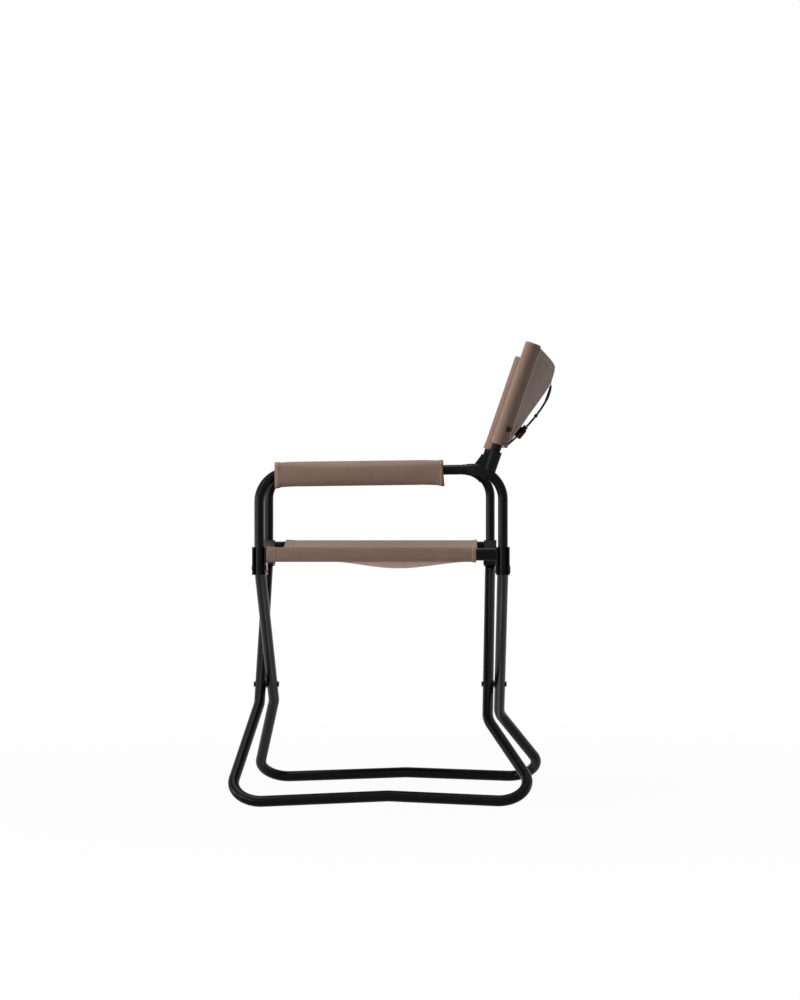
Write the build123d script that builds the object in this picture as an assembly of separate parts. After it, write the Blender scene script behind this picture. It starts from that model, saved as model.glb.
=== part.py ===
from build123d import *
import os
from math import atan, cos, pi, radians, sin, sqrt, tan

os.makedirs("parts", exist_ok=True)

# Folding camp chair, millimetres. X is left (+) and right (-), the front faces -Y,
# Z is up, and the origin is on the floor under the middle of the chair.
# Two tube loops cross under the seat and turn about bolts at their crossings.
# Each loop has its foot on one side and carries the seat rail of the other side,
# so a side of a loop is named after the rail that it carries.
LEFT = 1
RIGHT = -1
FRONT = -1
REAR = 1
SIDES = {"left": LEFT, "right": RIGHT}
ENDS = {"front": FRONT, "rear": REAR}

# Set-out of the sides
POST_SPACING = 600.0  # between the centres of the left and right arm posts
LOOP_MIDDLE_Y = -28.9  # halfway between the planes of the two sides
LOOP_OFFSET = 21.0  # the left rail's loop and arm lie this much further back
LEG_TOP_HALF = 209.5  # half the distance between a loop's leg tops
LEG_SPLAY = 4.0  # how much nearer the middle each leg is at its pivot bolt

# Leg loops
LEG_OD = 19.4
LEG_WALL = 1.4
PIVOT_Z = 198.0
LEG_END_INSET = 17.0  # the leg's axis ends this far inside the post, in its bracket
LEG_END_Z = 412.8
FRONT_KNEE_Z = 166.0
REAR_KNEE_Z = 140.0
FOOT_FRONT = 249.0  # from the loop's middle to where leg and floor tube would meet
FOOT_REAR = 303.0
FOOT_RISE = 8.4  # the floor tube is bent up in the middle, so that its ends stand
FOOT_RISE_Y = 31.0
FOOT_BEND = 50.0
KNEE_BEND = 70.0
RISE_BEND = 90.0

# Arm frames
ARM_OD = 17.0
ARM_WALL = 1.4
ARM_Z = 583.4  # middle of the arm tube
ARM_SLOPE = 0.75  # degrees, higher at the back
ARM_BEND = 51.5
POST_FOOT_Z = 405.0
HINGE_Z = 416.0

# Seat rails, rounded rectangular tube
RAIL_INSET = 4.0  # from the post's middle
RAIL_Z = 439.0
RAIL_WIDTH = 20.0
RAIL_HEIGHT = 20.6
RAIL_WALL = 1.5
RAIL_CORNER = 5.0

# Corner brackets, moulded nylon
BRACKET_TOP_Z = 452.0
BRACKET_BOTTOM_Z = 404.0
BRACKET_REACH = 48.0  # from the post's middle to its inner face
BRACKET_WALL = 3.0
BRACKET_ROUND = 2.5
OVERCUT = 1.0  # how far a cutter reaches past what it cuts
SLOT_CLEARANCE = 0.3
SPIGOT_LENGTH = 18.0
FIT = 0.05  # radial clearance of pins, bushes, spigots and sockets
SOFT_GAP = 0.3  # between a soft piece and what it lies on

# Hinge pins, pivot bolts and rivets
PIN_D = 5.0
PIN_HEAD_D = 9.0
PIN_HEAD = 1.1
BUSH_WALL = 1.5
BOLT_D = 6.0
BOLT_HEAD_D = 10.0
BOLT_HEAD = 2.4
BUSH_PROUD = 0.25
WASHER_D = 16.0
WASHER_GAP = 0.05
RIVET_D = 4.0
RIVET_HEAD_D = 7.0
RIVET_HEAD = 1.4
RIVET_FROM_END = 5.6  # along the leg
HEAD_ROUND = 0.9

# Arm pads
PAD_FRONT = 182.0  # in front of the middle of its arm frame
PAD_REAR = 107.0  # behind it
PAD_WIDTH = 40.0
PAD_TOP = 17.0  # above the tube's centre
PAD_BOTTOM = 25.0
PAD_COVER = 1.2
PAD_ROUND = 11.0
FOAM_INSET = 4.0  # the foam ends inside the cover

# Back posts and the joints that hold them on the arms
BACK_OD = 17.4
BACK_WALL = 1.4
BACK_LEAN = 19.0  # degrees behind upright
BACK_FOOT = 24.9  # at the arm's level, the left post's axis is this far before the rear post
RIGHT_POST_SHIFT = 10.0  # the right one is nearer its rear post, which squares up the back
RIGHT_POST_DROP = 6.5  # along the post, because it stands further down the bend
BACK_POST_LOW = 9.0  # along the post, from the arm's level
BACK_POST_TOP = 228.0
CAP_THICK = 2.5
CAP_PLUG = 8.0
SADDLE_OD = 20.0
SADDLE_FRONT = 37.0  # in front of the back post's foot
SADDLE_TURN = 40.0  # degrees of the arm's bend that the left saddle covers
SOCKET_OD = 24.6
SOCKET_TOP = 36.0  # along the post, from the arm's level
GUSSET_THICK = 16.0
GUSSET_FOOT = 18.0  # in front of the back post's foot
GUSSET_SHOULDER = 0.3  # in front of the socket's top
GUSSET_SINK = 1.0  # its foot starts this far inside the saddle
LOBE_LENGTH = 42.0  # the leaf-shaped boss on the saddle's outer face, round its screw
LOBE_HEIGHT = 17.5
LOBE_PROUD = 0.8  # beyond the saddle
LOBE_DEPTH = 5.0
LOBE_MIDDLE = 17.5  # in front of the back post's foot
LOBE_DOWN = 0.5  # below the arm's middle
LOBE_TURN = 12.0  # degrees, its rear end lower
LOBE_ROUND = 0.7
SCREW_D = 2.5
SCREW_HEAD_D = 4.6
SCREW_HEAD = 1.6
SCREW_SINK = 0.8
SCREW_BITE = 7.0
SADDLE_SCREWS = (32.2, 26.2)  # in front of the back post's foot
SOCKET_SCREW = 20.0  # along the post, on the socket's inner side

# Back panel
SLEEVE_THICK = 2.6
SLEEVE_LOW = 48.0  # along the post, from the arm's level
SLEEVE_TOP = 232.5
PANEL_CLOTH = 2.4
# Distances along the posts, and the panel's rear face behind them in the middle
PANEL_SAG = [
    (50.0, 16.5),
    (83.0, 31.0),
    (118.0, 40.5),
    (153.0, 51.0),
    (186.0, 59.5),
    (215.0, 58.0),
    (232.5, 56.0),
]
DROOP_EDGE = 5.0  # the top edge starts this far below the sleeves' tops
DROOP_MIDDLE = 15.0
SNAP_D = 9.5
SNAP_HEIGHT = 2.2
SNAP_AT = 78.0  # along the post
SNAP_TURN = 50.0  # degrees round the sleeve, from outwards towards the rear
SNAP_GAP = 0.05

# Seat
SEAT_REAR_GAP = 13.2  # from the nearer rear bracket to the cloth's edge
SEAT_CLOTH = 2.2
SEAT_LOW_Z = 410.0  # underside in the middle

# Storage cord, its lock, and the tabs that hold it
CORD_D = 3.8
TAB_WIDTH = 22.0
TAB_THICK = 2.0
TAB_LOW = (188.2, 61.6)  # along the posts and behind them, in the middle of the panel
TAB_TOP = (216.0, 60.5)
LOCK_D = 13.0
LOCK_LENGTH = 18.0
LOCK_WALL = 2.0
LOCK_FLOOR = 1.5
LOCK_SLOT = 0.6  # clearance round the cord
LOCK_TRAVEL = 3.0
LOCK_UP = (0.0, 0.65, 0.76)  # the button points as nearly this way as the cord allows
BUTTON_OUT = 6.5
BUTTON_LENGTH = 19.7
BUTTON_GAP = 0.15
ANCHOR_THICK = 5.0
ANCHOR_HEIGHT = 6.0
ANCHOR_LENGTH = 5.0
# The cord's route, from the tab down to the left sleeve: the share of the way from the middle
# to the left post, and the distances along the posts and behind them
CORD_ABOVE_LOCK = [
    (0.0, 186.7, 62.4),
    (0.0467, 172.5, 63.3),
    (0.14, 154.2, 61.5),
    (0.2933, 131.9, 55.0),
    (0.46, 110.5, 46.8),
    (0.6333, 90.4, 37.5),
]
CORD_BELOW_LOCK = [
    (0.7867, 73.7, 28.9),
    (0.9067, 61.3, 21.7),
    (0.9733, 54.0, 17.7),
    (1.01, 50.5, 14.8),
]

POST_X = POST_SPACING / 2
LEG_PIVOT_HALF = LEG_TOP_HALF - LEG_SPLAY
LEG_END_X = POST_X - LEG_END_INSET
LEG_RUN = LEG_END_X / (LEG_END_Z - PIVOT_Z)  # sideways run for each unit of height
LEG_SLANT = atan(LEG_RUN)  # legs from upright, seen from the front
SLOT_HALF = ARM_OD / 2 + SLOT_CLEARANCE
BRACKET_HALF = SLOT_HALF + BRACKET_WALL
BRACKET_TOP_X = POST_X - SLOT_HALF
BRACKET_INNER_X = POST_X - BRACKET_REACH
# The slope at which a bracket's inner face meets the chair's middle when it is folded
FOLD_RUN = BRACKET_TOP_X / (BRACKET_TOP_Z - PIVOT_Z)
RAIL_X = POST_X - RAIL_INSET
BACK_SHIFT = {LEFT: 0.0, RIGHT: RIGHT_POST_SHIFT}
BACK_DROP = {LEFT: 0.0, RIGHT: RIGHT_POST_DROP}
SLEEVE_R = BACK_OD / 2 + SOFT_GAP + SLEEVE_THICK


def side_y(side):
    """Middle of a side's leg tops, arm posts and rail."""
    return LOOP_MIDDLE_Y + side * LOOP_OFFSET / 2


def corner_y(side, end):
    return side_y(side) + end * LEG_TOP_HALF


def leg_half(z):
    """Half the distance between a loop's legs at a height."""
    splay = (LEG_TOP_HALF - LEG_PIVOT_HALF) / (LEG_END_Z - PIVOT_Z)
    return LEG_PIVOT_HALF + splay * (z - PIVOT_Z)


def loop_point(side, y, z):
    """A point in a loop's slanted plane."""
    return Vector(side * (z - PIVOT_Z) * LEG_RUN, side_y(side) + y, z)


def leg_point(side, end, z):
    return loop_point(side, end * leg_half(z), z)


def foot_corner_z(reach, knee_z):
    """Height of the foot's corner that stands its bend on the floor."""
    slant = cos(LEG_SLANT)
    rise = atan(FOOT_RISE / slant / (reach - FOOT_RISE_Y))
    kick = atan((reach - LEG_PIVOT_HALF) / ((knee_z - LEG_OD / 2) / slant))
    tangent = FOOT_BEND * tan((radians(90) + kick + rise) / 2)
    lift = tangent * sin(rise) - FOOT_BEND * (1 - cos(rise))
    return LEG_OD / 2 - lift * slant


def swept(path, diameter):
    start = Plane(origin=path @ 0, z_dir=path % 0)
    return sweep(start * Circle(diameter / 2), path=path)


def tube_along(path, outer, wall):
    return swept(path, outer) - swept(path, outer - 2 * wall)


def rod(start, end, diameter):
    axis = Vector(end) - Vector(start)
    base = Plane(origin=start, z_dir=axis)
    return extrude(base * Circle(diameter / 2), axis.length)


def rod_y(x, y_from, y_to, z, diameter):
    return rod((x, y_from, z), (x, y_to, z), diameter)


def pin_head(x, face_y, z, out, diameter, thick):
    """A button head that stands out from a face towards -Y or +Y."""
    head = rod_y(x, face_y, face_y + out * thick, z, diameter)
    rims = head.edges().filter_by(GeomType.CIRCLE).sort_by(Axis.Y)
    return fillet(rims[0 if out < 0 else -1], HEAD_ROUND)


def headed_pin(x, y_from, y_to, z, shank, head, thick):
    """A shank along Y between two faces, with a button head outside each."""
    body = rod_y(x, y_from - thick / 2, y_to + thick / 2, z, shank)
    body += pin_head(x, y_from, z, -1, head, thick)
    body += pin_head(x, y_to, z, 1, head, thick)
    return body


def rounded_bar(x, z, y_from, y_to, width, height, corner):
    """A bar along Y with a rounded rectangular section."""
    base = Plane(origin=(x, y_from, z), x_dir=(1, 0, 0), z_dir=(0, 1, 0))
    return extrude(base * RectangleRounded(width, height, corner), y_to - y_from)


def side_plate(x, points, thick):
    """A plate across X, from its outline's (y, z) points."""
    base = Plane(origin=(x - thick / 2, 0, 0), x_dir=(0, 1, 0), z_dir=(1, 0, 0))
    return extrude(base * make_face(Polyline(*points, close=True)), thick)


def write(node, *solids):
    shape = solids[0] if len(solids) == 1 else Compound(children=list(solids))
    export_step(shape, f"parts/{node}.step")


# Leg loops


def loop_path(side):
    front_z = foot_corner_z(FOOT_FRONT, FRONT_KNEE_Z)
    rear_z = foot_corner_z(FOOT_REAR, REAR_KNEE_Z)
    points = [
        leg_point(side, REAR, LEG_END_Z),
        leg_point(side, REAR, REAR_KNEE_Z),
        loop_point(side, FOOT_REAR, rear_z),
        loop_point(side, FOOT_RISE_Y, LEG_OD / 2 + FOOT_RISE),
        loop_point(side, -FOOT_FRONT, front_z),
        leg_point(side, FRONT, FRONT_KNEE_Z),
        leg_point(side, FRONT, LEG_END_Z),
    ]
    bends = [KNEE_BEND, FOOT_BEND, RISE_BEND, FOOT_BEND, KNEE_BEND]
    return FilletPolyline(*points, radius=bends)


def pivot_y(side, end):
    return side_y(side) + end * LEG_PIVOT_HALF


def bush_bore():
    return BOLT_D + 2 * FIT


def bush_outer():
    return bush_bore() + 2 * BUSH_WALL


def rivet_at(side):
    """(x, z) of the rivet through a leg's end."""
    x = LEG_END_X - RIVET_FROM_END * sin(LEG_SLANT)
    return side * x, LEG_END_Z - RIVET_FROM_END * cos(LEG_SLANT)


def leg_loop(side):
    loop = tube_along(loop_path(side), LEG_OD, LEG_WALL)
    reach = LEG_OD
    rivet_x, rivet_z = rivet_at(side)
    for end in ENDS.values():
        y = pivot_y(side, end)
        loop -= rod_y(0, y - reach, y + reach, PIVOT_Z, bush_outer() + 2 * FIT)
        top = corner_y(side, end)
        loop -= rod_y(rivet_x, top - reach, top + reach, rivet_z, RIVET_D + 2 * FIT)
    return loop


def pivot_bush(side, end):
    y = pivot_y(side, end)
    half = LEG_OD / 2 + BUSH_PROUD
    bush = rod_y(0, y - half, y + half, PIVOT_Z, bush_outer())
    return bush - rod_y(0, y - LEG_OD, y + LEG_OD, PIVOT_Z, bush_bore())


def pivot_faces(end):
    """Where the bolt's head and its cap nut bear, outside the two legs."""
    half = LEG_OD / 2 + BUSH_PROUD + WASHER_GAP
    return pivot_y(RIGHT, end) - half, pivot_y(LEFT, end) + half


def pivot_bolt(end):
    """The bolt's head is on the outer side of the pair of legs."""
    low, high = pivot_faces(end)
    bolt = rod_y(0, low - BOLT_HEAD / 2, high + BOLT_HEAD / 2, PIVOT_Z, BOLT_D)
    head_y = low if end == FRONT else high
    return bolt + pin_head(0, head_y, PIVOT_Z, end, BOLT_HEAD_D, BOLT_HEAD)


def pivot_nut(end):
    low, high = pivot_faces(end)
    face = high if end == FRONT else low
    nut = pin_head(0, face, PIVOT_Z, -end, BOLT_HEAD_D, BOLT_HEAD)
    return nut - rod_y(0, low - BOLT_HEAD / 2, high + BOLT_HEAD / 2, PIVOT_Z, BOLT_D)


def pivot_washer(end):
    """Keeps the two legs apart at their crossing."""
    inner = LEG_OD / 2 + BUSH_PROUD + WASHER_GAP
    low = pivot_y(RIGHT, end) + inner
    high = pivot_y(LEFT, end) - inner
    washer = rod_y(0, low, high, PIVOT_Z, WASHER_D)
    return washer - rod_y(0, low - OVERCUT, high + OVERCUT, PIVOT_Z, bush_bore())


# Seat rails and corner brackets


def seat_rail(side):
    low = corner_y(side, FRONT) + BRACKET_HALF
    high = corner_y(side, REAR) - BRACKET_HALF
    x = side * RAIL_X
    inner = RAIL_CORNER - RAIL_WALL
    rail = rounded_bar(x, RAIL_Z, low, high, RAIL_WIDTH, RAIL_HEIGHT, RAIL_CORNER)
    width = RAIL_WIDTH - 2 * RAIL_WALL
    height = RAIL_HEIGHT - 2 * RAIL_WALL
    return rail - rounded_bar(x, RAIL_Z, low, high, width, height, inner)


def spigot(side, end):
    """The bracket's peg inside the rail's end."""
    face = corner_y(side, end) - end * BRACKET_HALF
    tip = face - end * SPIGOT_LENGTH
    gap = 2 * RAIL_WALL + 2 * FIT
    corner = RAIL_CORNER - RAIL_WALL - FIT
    low, high = sorted((face, tip))
    return rounded_bar(
        side * RAIL_X, RAIL_Z, low, high, RAIL_WIDTH - gap, RAIL_HEIGHT - gap, corner
    )


def bracket_block(side, end):
    """The body, whose inner face stays clear of the other side when folded."""
    knee_z = PIVOT_Z + BRACKET_INNER_X / FOLD_RUN
    outer_x = POST_X + ARM_OD / 2 + SLOT_CLEARANCE
    outline = [
        (side * BRACKET_INNER_X, BRACKET_BOTTOM_Z),
        (side * outer_x, BRACKET_BOTTOM_Z),
        (side * outer_x, BRACKET_TOP_Z),
        (side * BRACKET_TOP_X, BRACKET_TOP_Z),
        (side * BRACKET_INNER_X, knee_z),
    ]
    front = Plane(
        origin=(0, corner_y(side, end) + BRACKET_HALF, 0),
        x_dir=(1, 0, 0),
        z_dir=(0, -1, 0),
    )
    block = extrude(front * make_face(Polyline(*outline, close=True)), 2 * BRACKET_HALF)
    return fillet(block.edges().filter_by(Axis.Y), BRACKET_ROUND)


def post_slot(side, end):
    """The way for the arm's post, open outwards, and the room its foot swings in."""
    y = corner_y(side, end)
    depth = ARM_OD + 2 * SLOT_CLEARANCE
    height = BRACKET_TOP_Z - BRACKET_BOTTOM_Z + 2 * OVERCUT
    middle = (BRACKET_TOP_Z + BRACKET_BOTTOM_Z) / 2
    inner_x = POST_X - SLOT_HALF
    slot = Pos(side * (inner_x + ARM_OD), y, middle) * Box(2 * ARM_OD, depth, height)
    foot = Vector(ARM_OD / 2, 0, HINGE_Z - POST_FOOT_Z).length + SLOT_CLEARANCE
    half = depth / 2
    return slot + rod_y(side * POST_X, y - half, y + half, HINGE_Z, 2 * foot)


def corner_bracket(side, end):
    y = corner_y(side, end)
    body = bracket_block(side, end) + spigot(side, end)
    body -= post_slot(side, end)
    leg_end = leg_point(side, end, LEG_END_Z)
    body -= rod(leg_end, leg_point(side, end, REAR_KNEE_Z), LEG_OD + 2 * FIT)
    body -= rod_y(side * POST_X, y - LEG_OD, y + LEG_OD, HINGE_Z, PIN_D + 2 * FIT)
    rivet_x, rivet_z = rivet_at(side)
    return body - rod_y(rivet_x, y - LEG_OD, y + LEG_OD, rivet_z, RIVET_D + 2 * FIT)


def hinge_pin(side, end):
    y = corner_y(side, end)
    low, high = y - BRACKET_HALF, y + BRACKET_HALF
    return headed_pin(side * POST_X, low, high, HINGE_Z, PIN_D, PIN_HEAD_D, PIN_HEAD)


def leg_rivet(side, end):
    y = corner_y(side, end)
    low, high = y - BRACKET_HALF, y + BRACKET_HALF
    x, z = rivet_at(side)
    return headed_pin(x, low, high, z, RIVET_D, RIVET_HEAD_D, RIVET_HEAD)


# Arm frames and pads


def arm_z(y_from_middle):
    return ARM_Z + y_from_middle * tan(radians(ARM_SLOPE))


def arm_centre_z(y_from_middle):
    """The tube's centre at its top or on its rear bend."""
    into_bend = max(0, y_from_middle - (LEG_TOP_HALF - ARM_BEND))
    drop = ARM_BEND - sqrt(ARM_BEND**2 - into_bend**2)
    return arm_z(y_from_middle) - drop


def arm_path(side):
    x = side * POST_X
    front = corner_y(side, FRONT)
    rear = corner_y(side, REAR)
    points = [
        (x, front, POST_FOOT_Z),
        (x, front, arm_z(-LEG_TOP_HALF)),
        (x, rear, arm_z(LEG_TOP_HALF)),
        (x, rear, POST_FOOT_Z),
    ]
    return FilletPolyline(*points, radius=ARM_BEND)


def post_bush_bore():
    return PIN_D + 2 * FIT


def post_bush_outer():
    return post_bush_bore() + 2 * BUSH_WALL


def arm_frame(side):
    frame = tube_along(arm_path(side), ARM_OD, ARM_WALL)
    x = side * POST_X
    for end in ENDS.values():
        y = corner_y(side, end)
        hole = post_bush_outer() + 2 * FIT
        frame -= rod_y(x, y - ARM_OD, y + ARM_OD, HINGE_Z, hole)
    return frame - saddle_screw_holes(side)


def post_bush(side, end):
    y = corner_y(side, end)
    x = side * POST_X
    bush = rod_y(x, y - ARM_OD / 2, y + ARM_OD / 2, HINGE_Z, post_bush_outer())
    return bush - rod_y(x, y - ARM_OD, y + ARM_OD, HINGE_Z, post_bush_bore())


def pad_block(side, shrink, inset):
    """The pad's rounded block along the arm, smaller all round by shrink."""
    lean = radians(ARM_SLOPE)
    origin = (side * POST_X, side_y(side) - PAD_FRONT + inset, arm_z(inset - PAD_FRONT))
    base = Plane(origin=origin, x_dir=(1, 0, 0), z_dir=(0, cos(lean), sin(lean)))
    width = PAD_WIDTH - 2 * shrink
    height = PAD_TOP + PAD_BOTTOM - 2 * shrink
    corner = PAD_ROUND - shrink
    # the plane's own y points down
    section = Pos(0, (PAD_BOTTOM - PAD_TOP) / 2) * RectangleRounded(width, height, corner)
    return extrude(base * section, PAD_FRONT + PAD_REAR - 2 * inset)


def pad_foam(side):
    block = pad_block(side, PAD_COVER + SOFT_GAP, FOAM_INSET)
    return block - swept(arm_path(side), ARM_OD + 2 * SOFT_GAP)


def pad_cover(side):
    return pad_block(side, 0, 0) - pad_block(side, PAD_COVER, -OVERCUT)


# Back posts and their joints


def foot_y(side):
    """Where the back post's axis meets the arm's level."""
    return corner_y(side, REAR) - BACK_FOOT + BACK_SHIFT[side]


def post_plane(side, along=0.0):
    """At a distance along the back post: x across, y behind the post, z up along it."""
    lean = radians(BACK_LEAN)
    direction = Vector(0, sin(lean), cos(lean))
    foot = Vector(side * POST_X, foot_y(side), ARM_Z)
    origin = foot + direction * (along - BACK_DROP[side])
    return Plane(origin=origin, x_dir=(1, 0, 0), z_dir=direction)


def on_post(side, low, high, diameter):
    return extrude(post_plane(side, low) * Circle(diameter / 2), high - low)


def back_post(side):
    bore = BACK_OD - 2 * BACK_WALL
    post = on_post(side, BACK_POST_LOW, BACK_POST_TOP, BACK_OD)
    return post - on_post(side, BACK_POST_LOW, BACK_POST_TOP, bore) - socket_screw_hole(side)


def post_cap(side):
    plug = BACK_OD - 2 * BACK_WALL - 2 * FIT
    cap = on_post(side, BACK_POST_TOP, BACK_POST_TOP + CAP_THICK, BACK_OD)
    cap = fillet(cap.edges().sort_by(Axis.Z)[-1], HEAD_ROUND)
    return cap + on_post(side, BACK_POST_TOP - CAP_PLUG, BACK_POST_TOP, plug)


def saddle(side):
    """The sleeve round the arm's rear bend."""
    front = foot_y(side) - SADDLE_FRONT
    bend_y = corner_y(side, REAR) - ARM_BEND
    bend_z = arm_z(LEG_TOP_HALF) - ARM_BEND
    turn = radians(SADDLE_TURN) + BACK_SHIFT[side] / ARM_BEND
    beyond = 2 * ARM_BEND / cos(turn)
    outline = [
        (front, bend_z),
        (bend_y, bend_z),
        (bend_y + beyond * sin(turn), bend_z + beyond * cos(turn)),
        (front, bend_z + beyond * cos(turn)),
    ]
    kept = side_plate(side * POST_X, outline, 2 * SADDLE_OD)
    return swept(arm_path(side), SADDLE_OD) & kept


def lobe(side):
    """The leaf-shaped boss on the saddle's outer face."""
    face_x = side * (POST_X + SADDLE_OD / 2 + LOBE_PROUD)
    middle = (face_x, foot_y(side) - LOBE_MIDDLE, ARM_Z - LOBE_DOWN)
    face = Plane(origin=middle, x_dir=(0, 1, 0), z_dir=(side, 0, 0))
    leaf = Ellipse(LOBE_LENGTH / 2, LOBE_HEIGHT / 2)
    boss = extrude(face * Rot(0, 0, -side * LOBE_TURN) * leaf, -LOBE_DEPTH)
    outer = boss.faces().sort_by(Axis.X)[-1 if side > 0 else 0]
    return fillet(outer.edges(), LOBE_ROUND)


def gusset(side):
    """The web between the saddle's front and the socket's top."""
    foot = foot_y(side)
    top = post_plane(side, SOCKET_TOP).origin
    outline = [
        (foot - GUSSET_FOOT, ARM_Z),
        (foot - GUSSET_FOOT, ARM_Z + SADDLE_OD / 2 - GUSSET_SINK),
        (top.Y - SOCKET_OD / 2 - GUSSET_SHOULDER, top.Z),
        (top.Y, top.Z),
        (foot, ARM_Z),
    ]
    return side_plate(side * POST_X, outline, GUSSET_THICK)


def screw(start, outward, sink):
    """A button-headed screw whose head sits in a flat of depth sink."""
    start = Vector(start)
    outward = Vector(outward)
    seat = start - outward * sink
    head = rod(seat, seat + outward * SCREW_HEAD, SCREW_HEAD_D)
    ends = head.edges().filter_by(GeomType.CIRCLE).sort_by(Axis.X)
    head = fillet(ends[-1 if outward.X > 0 else 0], HEAD_ROUND)
    return head + rod(seat - outward * SCREW_BITE, seat, SCREW_D)


def saddle_screw_places(side):
    face_x = side * (POST_X + SADDLE_OD / 2 + LOBE_PROUD)
    places = []
    for ahead in SADDLE_SCREWS:
        y = foot_y(side) - ahead
        places.append((face_x, y, arm_centre_z(y - side_y(side))))
    return places


def socket_screw_place(side):
    origin = post_plane(side, SOCKET_SCREW).origin
    return (side * (POST_X - SOCKET_OD / 2), origin.Y, origin.Z)


def screw_hole(place, outward):
    """A hole for a screw's shank and a flat seat for its head."""
    place = Vector(place)
    inward = Vector(-outward, 0, 0)
    deep = SCREW_BITE + SCREW_SINK + OVERCUT
    shank = rod(place, place + inward * deep, SCREW_D + 2 * FIT)
    flat = rod(place - inward * SCREW_HEAD, place + inward * SCREW_SINK, SCREW_HEAD_D + 2 * FIT)
    return shank + flat


def saddle_screw_holes(side):
    first, second = [screw_hole(place, side) for place in saddle_screw_places(side)]
    return first + second


def socket_screw_hole(side):
    return screw_hole(socket_screw_place(side), -side)


def back_joint(side):
    body = saddle(side) + gusset(side) + lobe(side)
    body += on_post(side, 0, SOCKET_TOP, SOCKET_OD)
    body -= swept(arm_path(side), ARM_OD + 2 * FIT)
    body -= on_post(side, BACK_POST_LOW, SOCKET_TOP + OVERCUT, BACK_OD + 2 * FIT)
    return body - saddle_screw_holes(side) - socket_screw_hole(side)


def joint_screws(side):
    outer = [screw(place, (side, 0, 0), SCREW_SINK) for place in saddle_screw_places(side)]
    return [*outer, screw(socket_screw_place(side), (-side, 0, 0), SCREW_SINK)]


# Back panel


def panel_plane(along):
    """Square to the posts: x from the left post away from the right one, y behind them."""
    left = post_plane(LEFT, along)
    across = left.origin - post_plane(RIGHT, along).origin
    return Plane(origin=left.origin, x_dir=across, z_dir=across.cross(left.y_dir))


def panel_span():
    """From one back post to the other, along the panel."""
    return (post_plane(LEFT).origin - post_plane(RIGHT).origin).length


def panel_section(along, sag):
    """The cloth's section across the posts, its rear face sag behind the middle."""
    far = -panel_span()
    inner = BACK_OD / 2 + SOFT_GAP
    outer = inner + PANEL_CLOTH
    rear = ThreePointArc((0, outer), (far / 2, sag), (far, outer))
    face = ThreePointArc((0, inner), (far / 2, sag - PANEL_CLOTH), (far, inner))
    ends = [Line(rear @ 0, face @ 0), Line(rear @ 1, face @ 1)]
    return panel_plane(along) * make_face([rear, face, *ends])


def back_sleeve(side):
    return on_post(side, SLEEVE_LOW, SLEEVE_TOP, 2 * SLEEVE_R)


def post_room(side):
    """The space that the post and its cap take inside the sleeve."""
    return on_post(side, 0, BACK_POST_TOP + CAP_THICK + SOFT_GAP, BACK_OD + 2 * SOFT_GAP)


def droop_cut():
    """What the hollow of the panel's top edge takes away."""
    plane = panel_plane(0)
    base = Plane(origin=plane.origin, x_dir=plane.x_dir, z_dir=plane.y_dir)
    # the base's own y points down along the post
    far = -panel_span()
    edge = DROOP_EDGE - SLEEVE_TOP
    above = -SLEEVE_TOP - SLEEVE_R
    arc = ThreePointArc((0, edge), (far / 2, DROOP_MIDDLE - SLEEVE_TOP), (far, edge))
    over = Polyline(arc @ 1, (far, above), (0, above), arc @ 0)
    return extrude(base * make_face([arc, over]), POST_SPACING, both=True)


def back_fabric():
    sections = [panel_section(along, sag) for along, sag in PANEL_SAG]
    panel = loft(sections) - droop_cut()
    for side in SIDES.values():
        panel += back_sleeve(side)
    for side in SIDES.values():
        panel -= post_room(side)
    return panel


def sleeve_snap(side):
    """A press stud on the sleeve, turned towards the rear."""
    plane = post_plane(side, SNAP_AT)
    turn = radians(SNAP_TURN)
    outward = Vector(side * cos(turn), 0, 0) + plane.y_dir * sin(turn)
    seat = plane.origin + outward * (SLEEVE_R + SNAP_GAP)
    return rod(seat, seat + outward * SNAP_HEIGHT, SNAP_D)


# Seat


def seat_fabric():
    """A sleeve round each rail and the sagging cloth between them."""
    inner_w = RAIL_WIDTH + 2 * SOFT_GAP
    inner_h = RAIL_HEIGHT + 2 * SOFT_GAP
    corner = RAIL_CORNER + SOFT_GAP
    grow = 2 * SEAT_CLOTH
    front_y = corner_y(LEFT, FRONT) + BRACKET_HALF + SOFT_GAP
    base = Plane(origin=(0, front_y, 0), x_dir=(1, 0, 0), z_dir=(0, 1, 0))
    section = seat_web()
    for side in SIDES.values():
        place = Pos(side * RAIL_X, -RAIL_Z)
        section += place * RectangleRounded(inner_w + grow, inner_h + grow, corner + SEAT_CLOTH)
    for side in SIDES.values():
        section -= Pos(side * RAIL_X, -RAIL_Z) * RectangleRounded(inner_w, inner_h, corner)
    rear_y = corner_y(RIGHT, REAR) - BRACKET_HALF - SEAT_REAR_GAP
    return extrude(base * section, rear_y - front_y)


def seat_web():
    """The sagging cloth, drawn with y down as the section's plane has it."""
    edge_x = RAIL_X - RAIL_WIDTH / 2 + RAIL_CORNER
    top = -(RAIL_Z + RAIL_HEIGHT / 2 + SOFT_GAP)
    low = -SEAT_LOW_Z
    over = top - SEAT_CLOTH
    upper = ThreePointArc((-edge_x, over), (0, low - SEAT_CLOTH), (edge_x, over))
    lower = ThreePointArc((-edge_x, top), (0, low), (edge_x, top))
    ends = [Line(upper @ 0, lower @ 0), Line(upper @ 1, lower @ 1)]
    return make_face([upper, lower, *ends])


# Storage cord


def cord_point(share, along, behind):
    """A point of the cord's route, from its share of the way to the left post."""
    left = post_plane(LEFT, along)
    right = post_plane(RIGHT, along)
    middle = (left.origin + right.origin) / 2
    return middle + (left.origin - middle) * share + left.y_dir * behind


def cord_points():
    return [cord_point(*place) for place in CORD_ABOVE_LOCK + CORD_BELOW_LOCK]


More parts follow.
